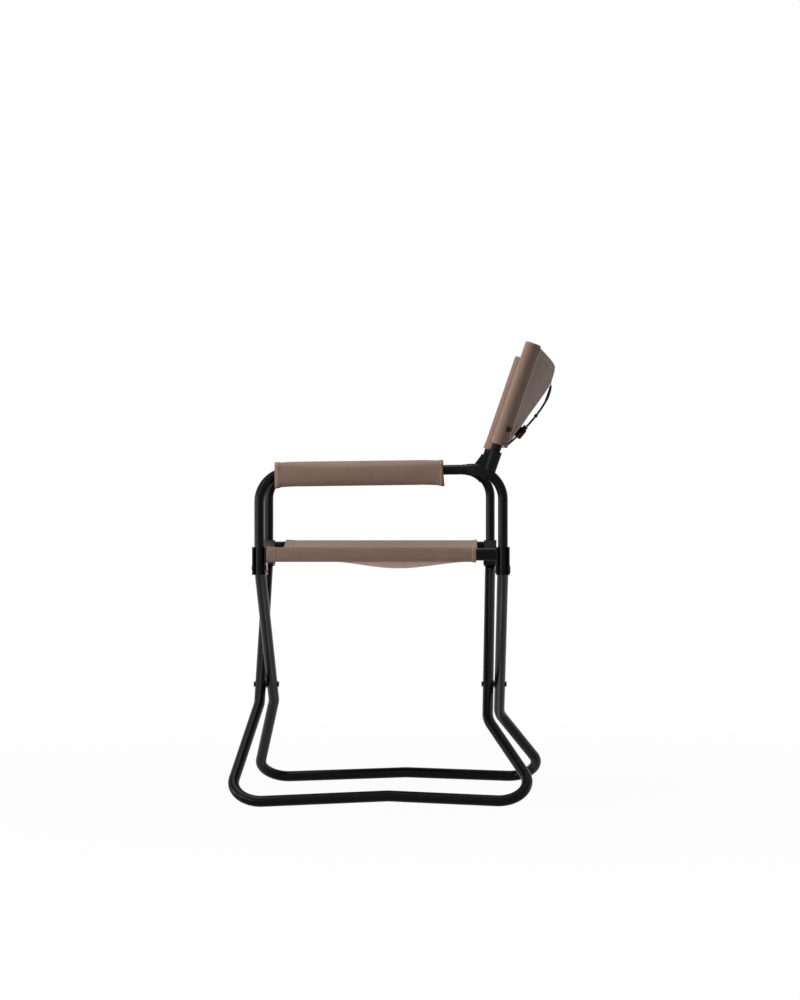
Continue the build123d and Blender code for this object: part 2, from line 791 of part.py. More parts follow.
def cord_radii():
    """Each corner's bend, as wide as its two runs allow."""
    points = cord_points()
    radii = []
    for before, here, after in zip(points, points[1:], points[2:]):
        turn = radians((here - before).get_angle(after - here))
        shorter = min((here - before).length, (after - here).length)
        radii.append(0.45 * shorter / tan(turn / 2))
    return radii


def storage_cord():
    path = FilletPolyline(*cord_points(), radius=cord_radii())
    cord = swept(path, CORD_D)
    drawn = cord.volume / (pi * CORD_D**2 / 4)
    print("cord length", round(path.length, 1), "by volume", round(drawn, 1))
    print("cord radii", [round(r) for r in cord_radii()])
    return cord


def cord_tab():
    """The folded tape, sewn behind the panel's middle, that the cord hangs from."""
    low = cord_point(0, *TAB_LOW)
    top = cord_point(0, *TAB_TOP)
    base = Plane(origin=low, x_dir=(1, 0, 0), z_dir=top - low)
    tape = extrude(base * Rectangle(TAB_WIDTH, TAB_THICK), (top - low).length)
    end, after = cord_points()[:2]
    way = (after - end).normalized()
    return tape + rod(end, end - way * CORD_D, CORD_D)


def lock_axes():
    """The lock's middle, the cord's way through it, and the button's direction."""
    start = cord_point(*CORD_ABOVE_LOCK[-1])
    end = cord_point(*CORD_BELOW_LOCK[0])
    through = (end - start).normalized()
    wanted = Vector(LOCK_UP)
    push = (wanted - through * wanted.dot(through)).normalized()
    return (start + end) / 2, through, push


def cord_lock_body():
    """A barrel that the cord passes across, with a bore for the button."""
    middle, through, push = lock_axes()
    low = middle - push * (LOCK_LENGTH / 2)
    body = rod(low, low + push * LOCK_LENGTH, LOCK_D)
    body = fillet(body.edges().filter_by(GeomType.CIRCLE), HEAD_ROUND)
    bore = LOCK_D - 2 * LOCK_WALL
    body -= rod(low + push * LOCK_FLOOR, low + push * (LOCK_LENGTH + OVERCUT), bore)
    hole = CORD_D + 2 * LOCK_SLOT
    return body - rod(middle - through * LOCK_D, middle + through * LOCK_D, hole)


def cord_lock_button():
    """The sprung plunger, slotted so that it can travel past the cord."""
    middle, through, push = lock_axes()
    top = middle + push * (LOCK_LENGTH / 2 + BUTTON_OUT)
    diameter = LOCK_D - 2 * LOCK_WALL - 2 * BUTTON_GAP
    button = rod(top - push * BUTTON_LENGTH, top, diameter)
    button = fillet(button.edges().filter_by(GeomType.CIRCLE), HEAD_ROUND)
    hole = CORD_D + 2 * LOCK_SLOT
    for shift in (0, LOCK_TRAVEL):
        at = middle + push * shift
        button -= rod(at - through * LOCK_D, at + through * LOCK_D, hole)
    frame = Plane(origin=middle + push * (LOCK_TRAVEL / 2), x_dir=push, z_dir=through)
    return button - frame * Box(LOCK_TRAVEL, hole, 2 * LOCK_D)


def cord_anchor():
    """The stitched tape that holds the cord's lower end to the left sleeve."""
    before, end = cord_points()[-2:]
    along = (end - before).normalized()
    place = Plane(origin=end, x_dir=along.cross(Vector(0, 0, 1)), z_dir=along)
    return extrude(place * Rectangle(ANCHOR_THICK, ANCHOR_HEIGHT), ANCHOR_LENGTH)


for name, side in SIDES.items():
    write(f"{name}_leg_loop", leg_loop(side))
    write(f"{name}_seat_rail", seat_rail(side))
    write(f"{name}_hinge_pins", *[hinge_pin(side, end) for end in ENDS.values()])
    write(f"{name}_leg_rivets", *[leg_rivet(side, end) for end in ENDS.values()])
    write(f"{name}_pivot_bushes", *[pivot_bush(side, end) for end in ENDS.values()])
    for end_name, end in ENDS.items():
        write(f"{name}_{end_name}_bracket", corner_bracket(side, end))
    write(f"{name}_arm_frame", arm_frame(side))
    write(f"{name}_post_bushes", *[post_bush(side, end) for end in ENDS.values()])
    write(f"{name}_pad_foam", pad_foam(side))
    write(f"{name}_pad_cover", pad_cover(side))
    write(f"{name}_back_post", back_post(side))
    write(f"{name}_post_cap", post_cap(side))
    write(f"{name}_back_joint", back_joint(side))
    write(f"{name}_joint_screws", *joint_screws(side))
    write(f"{name}_sleeve_snap", sleeve_snap(side))

write("pivot_bolts", *[pivot_bolt(end) for end in ENDS.values()])
write("pivot_nuts", *[pivot_nut(end) for end in ENDS.values()])
write("pivot_washers", *[pivot_washer(end) for end in ENDS.values()])
write("seat_fabric", seat_fabric())
write("back_fabric", back_fabric())
write("cord_tab", cord_tab())
write("storage_cord", storage_cord())
write("cord_lock_body", cord_lock_body())
write("cord_lock_button", cord_lock_button())
write("cord_anchor", cord_anchor())
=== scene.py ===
from math import acos, atan2, cos, exp, pi, radians, sin, sqrt

import bpy
from mathutils import Matrix, Vector, noise


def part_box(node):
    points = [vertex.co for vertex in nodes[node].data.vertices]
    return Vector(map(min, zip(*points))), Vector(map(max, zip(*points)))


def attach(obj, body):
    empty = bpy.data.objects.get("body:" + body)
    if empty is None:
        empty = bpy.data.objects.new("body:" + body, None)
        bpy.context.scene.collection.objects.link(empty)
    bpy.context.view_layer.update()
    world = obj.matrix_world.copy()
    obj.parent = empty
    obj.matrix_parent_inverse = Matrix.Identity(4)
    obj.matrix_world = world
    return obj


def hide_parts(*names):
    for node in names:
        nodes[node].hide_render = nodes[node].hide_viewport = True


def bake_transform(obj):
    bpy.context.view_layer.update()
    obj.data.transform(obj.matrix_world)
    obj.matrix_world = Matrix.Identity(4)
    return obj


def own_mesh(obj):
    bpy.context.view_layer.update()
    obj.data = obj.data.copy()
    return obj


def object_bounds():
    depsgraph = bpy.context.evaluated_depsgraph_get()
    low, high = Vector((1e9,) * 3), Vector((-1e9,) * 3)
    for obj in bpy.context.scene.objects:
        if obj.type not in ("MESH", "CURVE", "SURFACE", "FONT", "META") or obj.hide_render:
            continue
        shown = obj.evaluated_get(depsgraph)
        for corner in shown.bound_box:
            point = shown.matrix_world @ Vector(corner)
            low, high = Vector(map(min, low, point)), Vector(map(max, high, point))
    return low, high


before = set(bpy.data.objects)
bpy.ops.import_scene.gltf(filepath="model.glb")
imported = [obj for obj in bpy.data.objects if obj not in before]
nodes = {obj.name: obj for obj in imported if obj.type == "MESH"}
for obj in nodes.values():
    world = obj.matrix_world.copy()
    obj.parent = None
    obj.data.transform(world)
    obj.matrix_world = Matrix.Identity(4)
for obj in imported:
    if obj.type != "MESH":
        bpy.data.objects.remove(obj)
cad_box = [list(corner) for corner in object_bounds()]

# Camera
# A long lens, level with the arms and square to the chair's left side.

camera_data = bpy.data.cameras.new("side_camera")
camera_data.lens = 125.46
camera_data.shift_x = -0.086
camera_data.shift_y = -0.030
camera = bpy.data.objects.new("side_camera", camera_data)
camera.location = (6.294, 0.1621, 0.5845)
camera.rotation_euler = (pi / 2, 0, pi / 2)
bpy.context.scene.collection.objects.link(camera)
bpy.context.scene.camera = camera

# Storage cord
# A black braided cord, 3.8 mm thick, that ties the folded chair together. It hangs from the tape at the top
# of the back panel and is sewn to the left sleeve. Its upper end is doubled back and whipped.


def colour(red, green, blue):
    """A colour as a screen shows it, from 0 to 255, as the linear values that a shader takes."""

    def linear(level):
        level /= 255
        return level / 12.92 if level <= 0.04045 else ((level + 0.055) / 1.055) ** 2.4

    return (linear(red), linear(green), linear(blue), 1)


def add(tree, kind, inputs=None, **settings):
    """One shader node, with each input given as a value or as the socket that feeds it."""
    made = tree.nodes.new("ShaderNode" + kind)
    for title, value in settings.items():
        setattr(made, title, value)
    for title, value in (inputs or {}).items():
        if isinstance(value, bpy.types.NodeSocket):
            tree.links.new(value, made.inputs[title])
        else:
            made.inputs[title].default_value = value
    return made


def maths(tree, operation, first, second=0.0):
    """The result of one sum on one or two numbers."""
    return add(tree, "Math", {0: first, 1: second}, operation=operation).outputs[0]


def shared_effect(title, takes, gives):
    """A node group with its entry and exit sockets, for one effect that finishes draw on."""
    made = bpy.data.node_groups.new(title, "ShaderNodeTree")
    for way, sockets in (("INPUT", takes), ("OUTPUT", gives)):
        for name, kind in sockets:
            made.interface.new_socket(name=name, in_out=way, socket_type="NodeSocket" + kind)
    start = made.nodes.new("NodeGroupInput")
    end = made.nodes.new("NodeGroupOutput")
    return made, start.outputs, end.inputs


def finish_named(title, base, roughness, **constants):
    """A new material with its plain values set; the caller adds its texture."""
    material = bpy.data.materials.new(title)
    material.use_nodes = True
    tree = material.node_tree
    shader = tree.nodes["Principled BSDF"]
    shader.inputs["Base Color"].default_value = base
    shader.inputs["Roughness"].default_value = roughness
    for socket, value in constants.items():
        shader.inputs[socket.replace("_", " ").title().replace("Ior", "IOR")].default_value = value
    return material, tree, shader


def mixed(tree, share, first, second):
    """A colour between two others."""
    mix = add(tree, "Mix", {0: share, 6: first, 7: second}, data_type="RGBA")
    return mix.outputs[2]


def bumped(tree, shader, height, distance, strength=1.0):
    bump = add(tree, "Bump", {"Height": height, "Distance": distance, "Strength": strength})
    tree.links.new(bump.outputs[0], shader.inputs["Normal"])


# Diamond braid, from how far round the cord and how far along it a point is
DIAMONDS_ROUND = 4
DIAMOND_LENGTH = 0.0042
diamond_braid, braid_in, braid_out = shared_effect(
    "diamond_braid", [("Place", "Vector")], [("Height", "Float")]
)
round_and_along = add(diamond_braid, "SeparateXYZ", {0: braid_in[0]}).outputs
strands_round = maths(
    diamond_braid, "MULTIPLY", round_and_along[0], 2 * pi * DIAMONDS_ROUND
)
strands_along = maths(
    diamond_braid, "MULTIPLY", round_and_along[1], 2 * pi / DIAMOND_LENGTH
)
one_way = maths(diamond_braid, "SINE", maths(diamond_braid, "ADD", strands_round, strands_along))
other_way = maths(
    diamond_braid, "SINE", maths(diamond_braid, "SUBTRACT", strands_round, strands_along)
)
crossing = maths(diamond_braid, "MULTIPLY", one_way, other_way)
diamond_braid.links.new(maths(diamond_braid, "MULTIPLY_ADD", crossing, 0.5), braid_out[0])
diamond_braid.nodes[-1].inputs[2].default_value = 0.5

braided_cord, braided_tree, braided_shader = finish_named(
    "black_braided_cord", colour(24, 22, 23), 0.7, sheen_weight=0.03, specular_ior_level=0.1
)
cord_place = add(braided_tree, "UVMap", uv_map="UVMap").outputs[0]
braid_height_and_groove_shade = add(
    braided_tree, "Group", {0: cord_place}, node_tree=diamond_braid
).outputs[0]
# The braid's grooves are painted darker than its raised strands: painted shade.
braided_tree.links.new(
    mixed(braided_tree, braid_height_and_groove_shade, colour(15, 14, 15), colour(36, 33, 34)),
    braided_shader.inputs["Base Color"],
)
bumped(braided_tree, braided_shader, braid_height_and_groove_shade, 0.0004)


def tube_round(title, path, radii):
    """A closed tube round a line of points, its UV map the share round and the metres along."""
    sides = 14
    steps = [(b - a).normalized() for a, b in zip(path, path[1:])]
    ways = [steps[0], *[(a + b).normalized() for a, b in zip(steps, steps[1:])], steps[-1]]
    out = ways[0].orthogonal().normalized()
    rings, along = [], [0.0]
    for here, way, radius in zip(path, ways, radii):
        out = (out - way * out.dot(way)).normalized()
        across = way.cross(out)
        turns = [2 * pi * k / sides for k in range(sides)]
        rings.append([here + (out * cos(t) + across * sin(t)) * radius for t in turns])
    for a, b in zip(path, path[1:]):
        along.append(along[-1] + (b - a).length)
    points = [p for ring in rings for p in ring] + [path[0], path[-1]]
    faces, places = [], []
    for i in range(len(path) - 1):
        for k in range(sides):
            n = (k + 1) % sides
            faces.append((i * sides + k, i * sides + n, (i + 1) * sides + n, (i + 1) * sides + k))
            a, b = k / sides, (k + 1) / sides
            places.append(((a, along[i]), (b, along[i]), (b, along[i + 1]), (a, along[i + 1])))
    last = (len(path) - 1) * sides
    for k in range(sides):
        n = (k + 1) % sides
        faces.append((len(points) - 2, n, k))
        faces.append((len(points) - 1, last + k, last + n))
        places += [((0, 0), (0, 0), (0, 0))] * 2
    mesh = bpy.data.meshes.new(title)
    mesh.from_pydata(points, [], faces)
    uv = mesh.uv_layers.new(name="UVMap").data
    for place, loop in zip([p for face in places for p in face], uv):
        loop.uv = place
    mesh.shade_smooth()
    tube = bpy.data.objects.new(title, mesh)
    bpy.context.scene.collection.objects.link(tube)
    return tube


CORD_DIAMETER = 0.0038
cord_route = [
    (0, 0.2794, 0.7366),
    (0.014, 0.276, 0.723),
    (0.042, 0.2689, 0.7065),
    (0.088, 0.2565, 0.688),
    (0.138, 0.2429, 0.671),
    (0.19, 0.2287, 0.6555),
    (0.236, 0.2161, 0.643),
    (0.272, 0.2061, 0.634),
    (0.292, 0.2003, 0.6286),
    (0.303, 0.1967, 0.6264),
]
route_curve = bpy.data.curves.new("cord_route", "CURVE")
route_curve.dimensions = "3D"
route_curve.resolution_u = 16
route = route_curve.splines.new("NURBS")
route.points.add(len(cord_route) - 1)
for point, place in zip(route.points, cord_route):
    point.co = (*place, 1)
route.order_u = 3
route.use_endpoint_u = True
route_object = bpy.data.objects.new("cord_route", route_curve)
bpy.context.scene.collection.objects.link(route_object)
bpy.context.view_layer.update()
route_mesh = bpy.data.meshes.new_from_object(route_object)
cord_line = [v.co.copy() for v in route_mesh.vertices]
bpy.data.objects.remove(route_object)


def cord_between(first, last):
    """The points of the cord's line between two distances from its upper end."""
    return [p for p in cord_line if first < (p - cord_line[0]).length < last]


WHIPPING_RADIUS = 0.0027
WHIPPING_TAPER = 0.0006  # how much thinner the whipping is at its two ends
KNOT_END_RADIUS = 0.0022
KNOT_SWELL = 0.0012

cord = tube_round("storage_cord_braid", cord_line, [CORD_DIAMETER / 2] * len(cord_line))
whipping_line = cord_between(0.003, 0.052)
whipping_radii = [
    WHIPPING_RADIUS - WHIPPING_TAPER * abs(2 * k / (len(whipping_line) - 1) - 1) ** 4
    for k in range(len(whipping_line))
]
whipping = tube_round("cord_whipping", whipping_line, whipping_radii)
knot_line = cord_between(0.1215, 0.1315)
knot_radii = [
    KNOT_END_RADIUS + KNOT_SWELL * sin(pi * k / (len(knot_line) - 1))
    for k in range(len(knot_line))
]
knot = tube_round("cord_knot", knot_line, knot_radii)


def crumples(piece):
    """The piece rides on the left arm, on a mesh of its own."""
    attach(piece, "left_arm")
    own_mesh(piece)


for piece in (cord, whipping, knot):
    piece.data.materials.append(braided_cord)
    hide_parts("storage_cord")
    crumples(piece)

# Tapes at the cord's ends
# Woven taupe tape, 1 mm thick. A long piece is folded round the cord and sewn flat behind the top of the
# back panel, and a short piece holds the cord's other end on the left sleeve.

TAPE_RIB = 0.0011
TAPE_PICK = 0.0007
ribbed_tape, tape_in, tape_out = shared_effect(
    "ribbed_tape", [("Place", "Vector")], [("Height", "Float")]
)
tape_place = add(ribbed_tape, "SeparateXYZ", {0: tape_in[0]}).outputs
ribs = maths(
    ribbed_tape, "SINE", maths(ribbed_tape, "MULTIPLY", tape_place[0], pi / TAPE_RIB)
)
picks = maths(
    ribbed_tape, "SINE", maths(ribbed_tape, "MULTIPLY", tape_place[1], pi / TAPE_PICK)
)
tape_woven = maths(ribbed_tape, "MULTIPLY_ADD", maths(ribbed_tape, "MULTIPLY", ribs, picks), 0.5)
ribbed_tape.nodes[-1].inputs[2].default_value = 0.5
ribbed_tape.links.new(tape_woven, tape_out[0])

TAPE_HOLLOW_SHADE = colour(84, 68, 60)
TAPE_LIGHT = colour(124, 103, 92)
taupe_tape, tape_tree, tape_shader = finish_named(
    "taupe_woven_tape", TAPE_LIGHT, 0.75, sheen_weight=0.03, specular_ior_level=0.1
)
on_tape = add(tape_tree, "UVMap", uv_map="UVMap").outputs[0]
tape_height_and_shade = add(tape_tree, "Group", {0: on_tape}, node_tree=ribbed_tape).outputs[0]
# The tape's low places between its ribs are painted darker: painted shade.
tape_tree.links.new(
    mixed(tape_tree, tape_height_and_shade, TAPE_HOLLOW_SHADE, TAPE_LIGHT), tape_shader.inputs["Base Color"]
)
bumped(tape_tree, tape_shader, tape_height_and_shade, 0.0003)


def select_nothing():
    bpy.ops.object.select_all(action="DESELECT")


def apply_modifiers(piece):
    """Leaves the piece selected and active, ready for the next operator."""
    select_nothing()
    piece.select_set(True)
    bpy.context.view_layer.objects.active = piece
    for modifier in list(piece.modifiers):
        bpy.ops.object.modifier_apply(modifier=modifier.name)


def cloth_grid(title, columns, rows, place, thickness, flat):
    """A grid laid on a surface and given its cloth's thickness. place and flat take the shares across and
    up, from 0 to 1, and give a point of the surface and a point of the flat cut, in metres."""
    select_nothing()
    bpy.ops.mesh.primitive_grid_add(x_subdivisions=columns, y_subdivisions=rows, size=1)
    piece = bpy.context.object
    piece.name = piece.data.name = title
    shares = [(v.co.x + 0.5, v.co.y + 0.5) for v in piece.data.vertices]
    uv = piece.data.uv_layers.active
    uv.name = "UVMap"
    for loop in piece.data.loops:
        uv.data[loop.index].uv = flat(*shares[loop.vertex_index])
    for vertex, share in zip(piece.data.vertices, shares):
        vertex.co = place(*share)
    solidify = piece.modifiers.new("cloth", "SOLIDIFY")
    solidify.thickness = thickness
    solidify.offset = 0
    solidify.use_even_offset = True
    apply_modifiers(piece)
    bpy.ops.object.shade_smooth_by_angle(angle=radians(50))
    return piece


# The left back post and the right one as lines: a foot at the arms' level, and the way up and behind
LEAN = radians(19)
UP = Vector((0, sin(LEAN), cos(LEAN)))
BEHIND = Vector((0, cos(LEAN), -sin(LEAN)))
POST_X = 0.3
ARM_Z = 0.5834
RIGHT_POST_LOWER = 0.0065
LEFT_FOOT = Vector((POST_X, 0.1662, ARM_Z))
RIGHT_FOOT = Vector((-POST_X, 0.1552, ARM_Z)) - UP * RIGHT_POST_LOWER
MIDDLE_FOOT = (LEFT_FOOT + RIGHT_FOOT) / 2

TAPE_WIDTH = 0.022
TAPE_THICK = 0.001
TAPE_LOOP = 0.0022  # the radius of its fold round the cord
TAPE_CLOSES = 0.003  # over what length its two layers come together above the fold
TAPE_LOW = 0.1855
TAPE_TOP = 0.2165
TAPE_BEHIND = 0.0600
TAPE_LEANS = 0.0013  # how much nearer the panel its top is than its fold
TAPE_WEAVE_LENGTH = 0.078


def tape_surface(across, round_share):
    """Down the front layer, round the cord in the fold at the bottom, and up the rear layer."""
    length = TAPE_TOP - TAPE_LOW
    travel = round_share * (2 * length + pi * TAPE_LOOP)
    x = (across - 0.5) * TAPE_WIDTH
    flat = TAPE_THICK / 2
    if travel < length:
        along = TAPE_TOP - travel
        behind = -flat - (TAPE_LOOP - flat) * exp(-(length - travel) / TAPE_CLOSES)
    elif travel < length + pi * TAPE_LOOP:
        turn = (travel - length) / TAPE_LOOP
        along, behind = TAPE_LOW - TAPE_LOOP * sin(turn), -TAPE_LOOP * cos(turn)
    else:
        travel -= length + pi * TAPE_LOOP
        along = TAPE_LOW + travel
        behind = flat + (TAPE_LOOP - flat) * exp(-travel / TAPE_CLOSES)
    behind += TAPE_BEHIND - TAPE_LEANS * max(0, along - TAPE_LOW) / length
    return MIDDLE_FOOT + Vector((x, 0, 0)) + UP * along + BEHIND * behind


tape = cloth_grid(
    "cord_tape", 8, 60, tape_surface, TAPE_THICK,
    lambda across, up: (across * TAPE_WIDTH, up * TAPE_WEAVE_LENGTH),
)
tape.data.materials.append(taupe_tape)
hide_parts("cord_tab")
crumples(tape)

anchor_low, anchor_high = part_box("cord_anchor")
anchor_middle = (anchor_low + anchor_high) / 2
select_nothing()
bpy.ops.mesh.primitive_cube_add(size=1, location=anchor_middle, scale=anchor_high - anchor_low)
anchor = bpy.context.object
anchor.name = anchor.data.name = "cord_anchor_tape"
bpy.ops.object.transform_apply(location=True, rotation=True, scale=True)
bpy.ops.object.mode_set(mode="EDIT")
bpy.ops.mesh.select_all(action="SELECT")
bpy.ops.mesh.bevel(offset=0.0008, segments=2)
bpy.ops.object.mode_set(mode="OBJECT")
bpy.ops.object.shade_smooth_by_angle(angle=radians(40))
anchor.data.materials.append(taupe_tape)
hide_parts("cord_anchor")
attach(anchor, "left_arm")

# Back panel
# Taupe woven polyester canvas, doubled into hems at its top and bottom edges and hung between the two
# sleeves. It sags behind the posts, more towards the top, and its top edge dips in the middle.

canvas_weave, weave_in, weave_out = shared_effect(
    "canvas_weave", [("Place", "Vector")], [("Height", "Float"), ("Shade", "Float")]
)
CANVAS_THREAD = 0.0008
scaled = add(canvas_weave, "VectorMath", {0: weave_in[0]}, operation="SCALE")
scaled.inputs["Scale"].default_value = pi / CANVAS_THREAD
warp_weft = add(canvas_weave, "SeparateXYZ", {0: scaled.outputs[0]}).outputs
over_under = maths(
    canvas_weave, "MULTIPLY",
    maths(canvas_weave, "SINE", warp_weft[0]), maths(canvas_weave, "SINE", warp_weft[1]),
)
over_under = maths(canvas_weave, "MULTIPLY_ADD", over_under, 0.5)
canvas_weave.nodes[-1].inputs[2].default_value = 0.5
canvas_weave.links.new(over_under, weave_out[0])
streak_place = add(
    canvas_weave, "VectorMath", {0: weave_in[0], 1: (700.0, 45.0, 45.0)}, operation="MULTIPLY"
).outputs[0]
slub = add(
    canvas_weave, "TexNoise", {"Vector": streak_place, "Scale": 1.0, "Detail": 2.0}
).outputs[0]
patches = add(
    canvas_weave, "TexNoise", {"Vector": weave_in[0], "Scale": 38.0, "Detail": 3.0}
).outputs[0]
uneven = maths(
    canvas_weave, "ADD",
    maths(canvas_weave, "MULTIPLY", slub, 0.20), maths(canvas_weave, "MULTIPLY", patches, 0.45),
)
# The weave's low places count here too, so the canvas is painted darker in them: painted shade, on top of the
# slubs' and patches' own tone.
uneven = maths(canvas_weave, "ADD", uneven, maths(canvas_weave, "MULTIPLY", over_under, 0.35))
canvas_weave.links.new(uneven, weave_out[1])

# Lock stitches in a straight row, from how far off the row's line and how far along it a point is
STITCH_LENGTH = 0.0034
STITCH_SHOWN = 0.74  # the share of that length that the thread takes before it dips into the cloth
STITCH_HALF_WIDTH = 0.0005
stitch_row, stitch_in, stitch_out = shared_effect(
    "stitch_row", [("Off", "Float"), ("Along", "Float")], [("Thread", "Float")]
)
near_row = maths(
    stitch_row, "LESS_THAN", maths(stitch_row, "ABSOLUTE", stitch_in[0]), STITCH_HALF_WIDTH
)
in_stitch = maths(
    stitch_row, "LESS_THAN",
    maths(stitch_row, "FRACT", maths(stitch_row, "DIVIDE", stitch_in[1], STITCH_LENGTH)),
    STITCH_SHOWN,
)
stitch_row.links.new(maths(stitch_row, "MULTIPLY", near_row, in_stitch), stitch_out[0])

CANVAS_DARK = colour(104, 82, 69)
CANVAS_LIGHT = colour(138, 111, 96)
THREAD_COLOUR = colour(184, 162, 148)
STITCH_PROUD = 1.5  # how high a stitch stands, in heights of the weave


def canvas(title, place_of, rows):
    """Taupe canvas. place_of gives a point's place on the cloth; rows are stitch rows, each an axis of
    that place, 0 or 1, and where on it the row lies."""
    material, tree, shader = finish_named(
        title, CANVAS_LIGHT, 0.66, sheen_weight=0.05, sheen_roughness=0.6, specular_ior_level=0.3
    )
    place = place_of(tree)
    weave = add(tree, "Group", {0: place}, node_tree=canvas_weave).outputs
    # Darker in the weave's low places, which is painted shade, and in its slubs and patches, which is the
    # cloth's own tone.
    cloth = mixed(tree, weave[1], CANVAS_DARK, CANVAS_LIGHT)
    axes = add(tree, "SeparateXYZ", {0: place}).outputs
    height = weave[0]
    for axis, position in rows:
        off = maths(tree, "SUBTRACT", axes[axis], position)
        thread = add(tree, "Group", {0: off, 1: axes[1 - axis]}, node_tree=stitch_row).outputs[0]
        cloth = mixed(tree, thread, cloth, THREAD_COLOUR)
        height = maths(tree, "ADD", height, maths(tree, "MULTIPLY", thread, STITCH_PROUD))
    tree.links.new(cloth, shader.inputs["Base Color"])
    bumped(tree, shader, height, 0.00035)
    return material


def on_its_cut(tree):
    """The cloth's own place: metres across and up its flat cut."""
    return add(tree, "UVMap", uv_map="UVMap").outputs[0]


BACK_HEIGHT = 0.1845
BACK_WIDTH = 0.609
PANEL_LOW = 0.0565
PANEL_TOP = 0.2325
PANEL_END_DROP = 0.005  # how far below the sleeves' tops the panel's top edge ends
PANEL_DIP = 0.010  # how much further it dips in the middle
PANEL_INSET = 0.0012  # from the sag below to the middle of the cloth's thickness
HEM_WIDTH = 0.012
HEM_LAYER = 0.0011
HEM_STITCHES = 0.0108  # from the cloth's edge
SEAM_LAP = 0.016
LAP_LAYER = 0.0006
SLEEVE_RADIUS = 0.0116
SLEEVE_SEAM = 0.0163  # how far behind its post's middle a sleeve is sewn shut
SEAM_PROUD = 0.0018  # how far to each side the panel's ends stand past that
SEAM_RISE = 0.0062  # how much higher the cloth ends along that seam, at the sleeve's foot

# Heights up the posts, and how far behind them the panel's middle lies there
sag_places = [(0.050, 0.0182), (0.083, 0.031), (0.118, 0.0405), (0.153, 0.051),
              (0.186, 0.0595), (0.215, 0.058), (0.2325, 0.056)]


def between(places, at):
    """A smooth value between given ones, its slope at each taken from its two neighbours."""
    at = min(max(at, places[0][0]), places[-1][0])
    k = max(i for i in range(len(places) - 1) if places[i][0] <= at)

    def slope(i):
        a, b = places[max(i - 1, 0)], places[min(i + 1, len(places) - 1)]
        return (b[1] - a[1]) / (b[0] - a[0])

    (x0, y0), (x1, y1) = places[k], places[k + 1]
    width = x1 - x0
    t = (at - x0) / width
    return (
        (2 * t**3 - 3 * t**2 + 1) * y0 + (t**3 - 2 * t**2 + t) * width * slope(k)
        + (3 * t**2 - 2 * t**3) * y1 + (t**3 - t**2) * width * slope(k + 1)
    )


ACROSS = (LEFT_FOOT - RIGHT_FOOT).normalized()
SQUARE_BEHIND = ACROSS.cross(BEHIND).cross(ACROSS).normalized()


def stations(near_edge, whole, steps):
    """Places for a grid's lines, as shares of the whole: close at both its edges, even between them."""
    first = near_edge[-1]
    places = [near / whole for near in near_edge]
    places += [first / whole + (1 - 2 * first / whole) * k / steps for k in range(1, steps)]
    return places + [1 - near / whole for near in reversed(near_edge)]


panel_rows = stations([0, 0.0012, 0.006, 0.0115, 0.0125, 0.0135], BACK_HEIGHT, 34)
panel_columns = stations(
    [0, 0.004, 0.010, 0.0135, 0.0148, 0.0160, 0.0172, 0.0180], BACK_WIDTH, 70
)


def at_share(places, share):
    return places[round(share * (len(places) - 1))]


HALF_SPAN = (LEFT_FOOT - RIGHT_FOOT).length / 2
PULL_REACH = 0.045  # how far from a sleeve the cloth shows that it is pulled
PULL_SPACING = 0.027
PULL_HEIGHT = 0.0006
SLACK_HEIGHT = 0.0016


def panel_surface(column, row):
    """An arc between the posts at every height, with the layers of hems and seams and some slack."""
    across, up = at_share(panel_columns, column), at_share(panel_rows, row)
    inwards = across * (1 - across) * 4  # 0 at the sleeves, 1 in the middle
    top = PANEL_TOP - PANEL_END_DROP - PANEL_DIP * inwards
    along = PANEL_LOW + (top - PANEL_LOW) * up
    rise = between(sag_places, along) - SLEEVE_SEAM
    round_radius = (HALF_SPAN**2 + rise**2) / (2 * rise)
    off = (across - 0.5) * 2 * HALF_SPAN
    behind = SLEEVE_SEAM + sqrt(round_radius**2 - off**2) - (round_radius - rise) - PANEL_INSET
    from_edge = min(up, 1 - up) * BACK_HEIGHT
    from_sleeve = min(across, 1 - across) * BACK_WIDTH
    layers = HEM_LAYER if from_edge < HEM_WIDTH else 0
    layers += LAP_LAYER if from_sleeve < SEAM_LAP else 0
    pull = exp(-from_sleeve / PULL_REACH) * sin(2 * pi * along / PULL_SPACING + 2 * sin(along * 90))
    slack = noise.noise(Vector((across * 5, up * 2.2, 3.7))) * inwards
    behind += layers + PULL_HEIGHT * pull * (0.2 + inwards) + SLACK_HEIGHT * slack
    reach = (across - 0.5) * (1 + 2 * SEAM_PROUD / BACK_WIDTH) + 0.5
    return LEFT_FOOT.lerp(RIGHT_FOOT, reach) + UP * along + SQUARE_BEHIND * behind


# The thread-coloured rows at the panel's two cut ends, which stand proud past the sleeves' seams, paint a
# light line there: partly overlock thread, partly a painted highlight on that edge.
back_canvas = canvas(
    "taupe_canvas_back", on_its_cut,
    [(1, HEM_STITCHES), (1, BACK_HEIGHT - HEM_STITCHES), (0, 0.0), (0, 0.001),
     (0, BACK_WIDTH - 0.001), (0, BACK_WIDTH)],
)
back_panel = cloth_grid(
    "back_panel", len(panel_columns) - 1, len(panel_rows) - 1, panel_surface, 0.0016,
    lambda column, row: (
        at_share(panel_columns, column) * BACK_WIDTH, at_share(panel_rows, row) * BACK_HEIGHT
    ),
)
back_panel.data.materials.append(back_canvas)

# Back sleeves
# Each end of the back panel is folded into a sleeve that slides down over its post. The sleeve is closed
# over the post's cap and hemmed at its foot. It leaves the post straight and is sewn shut behind it.

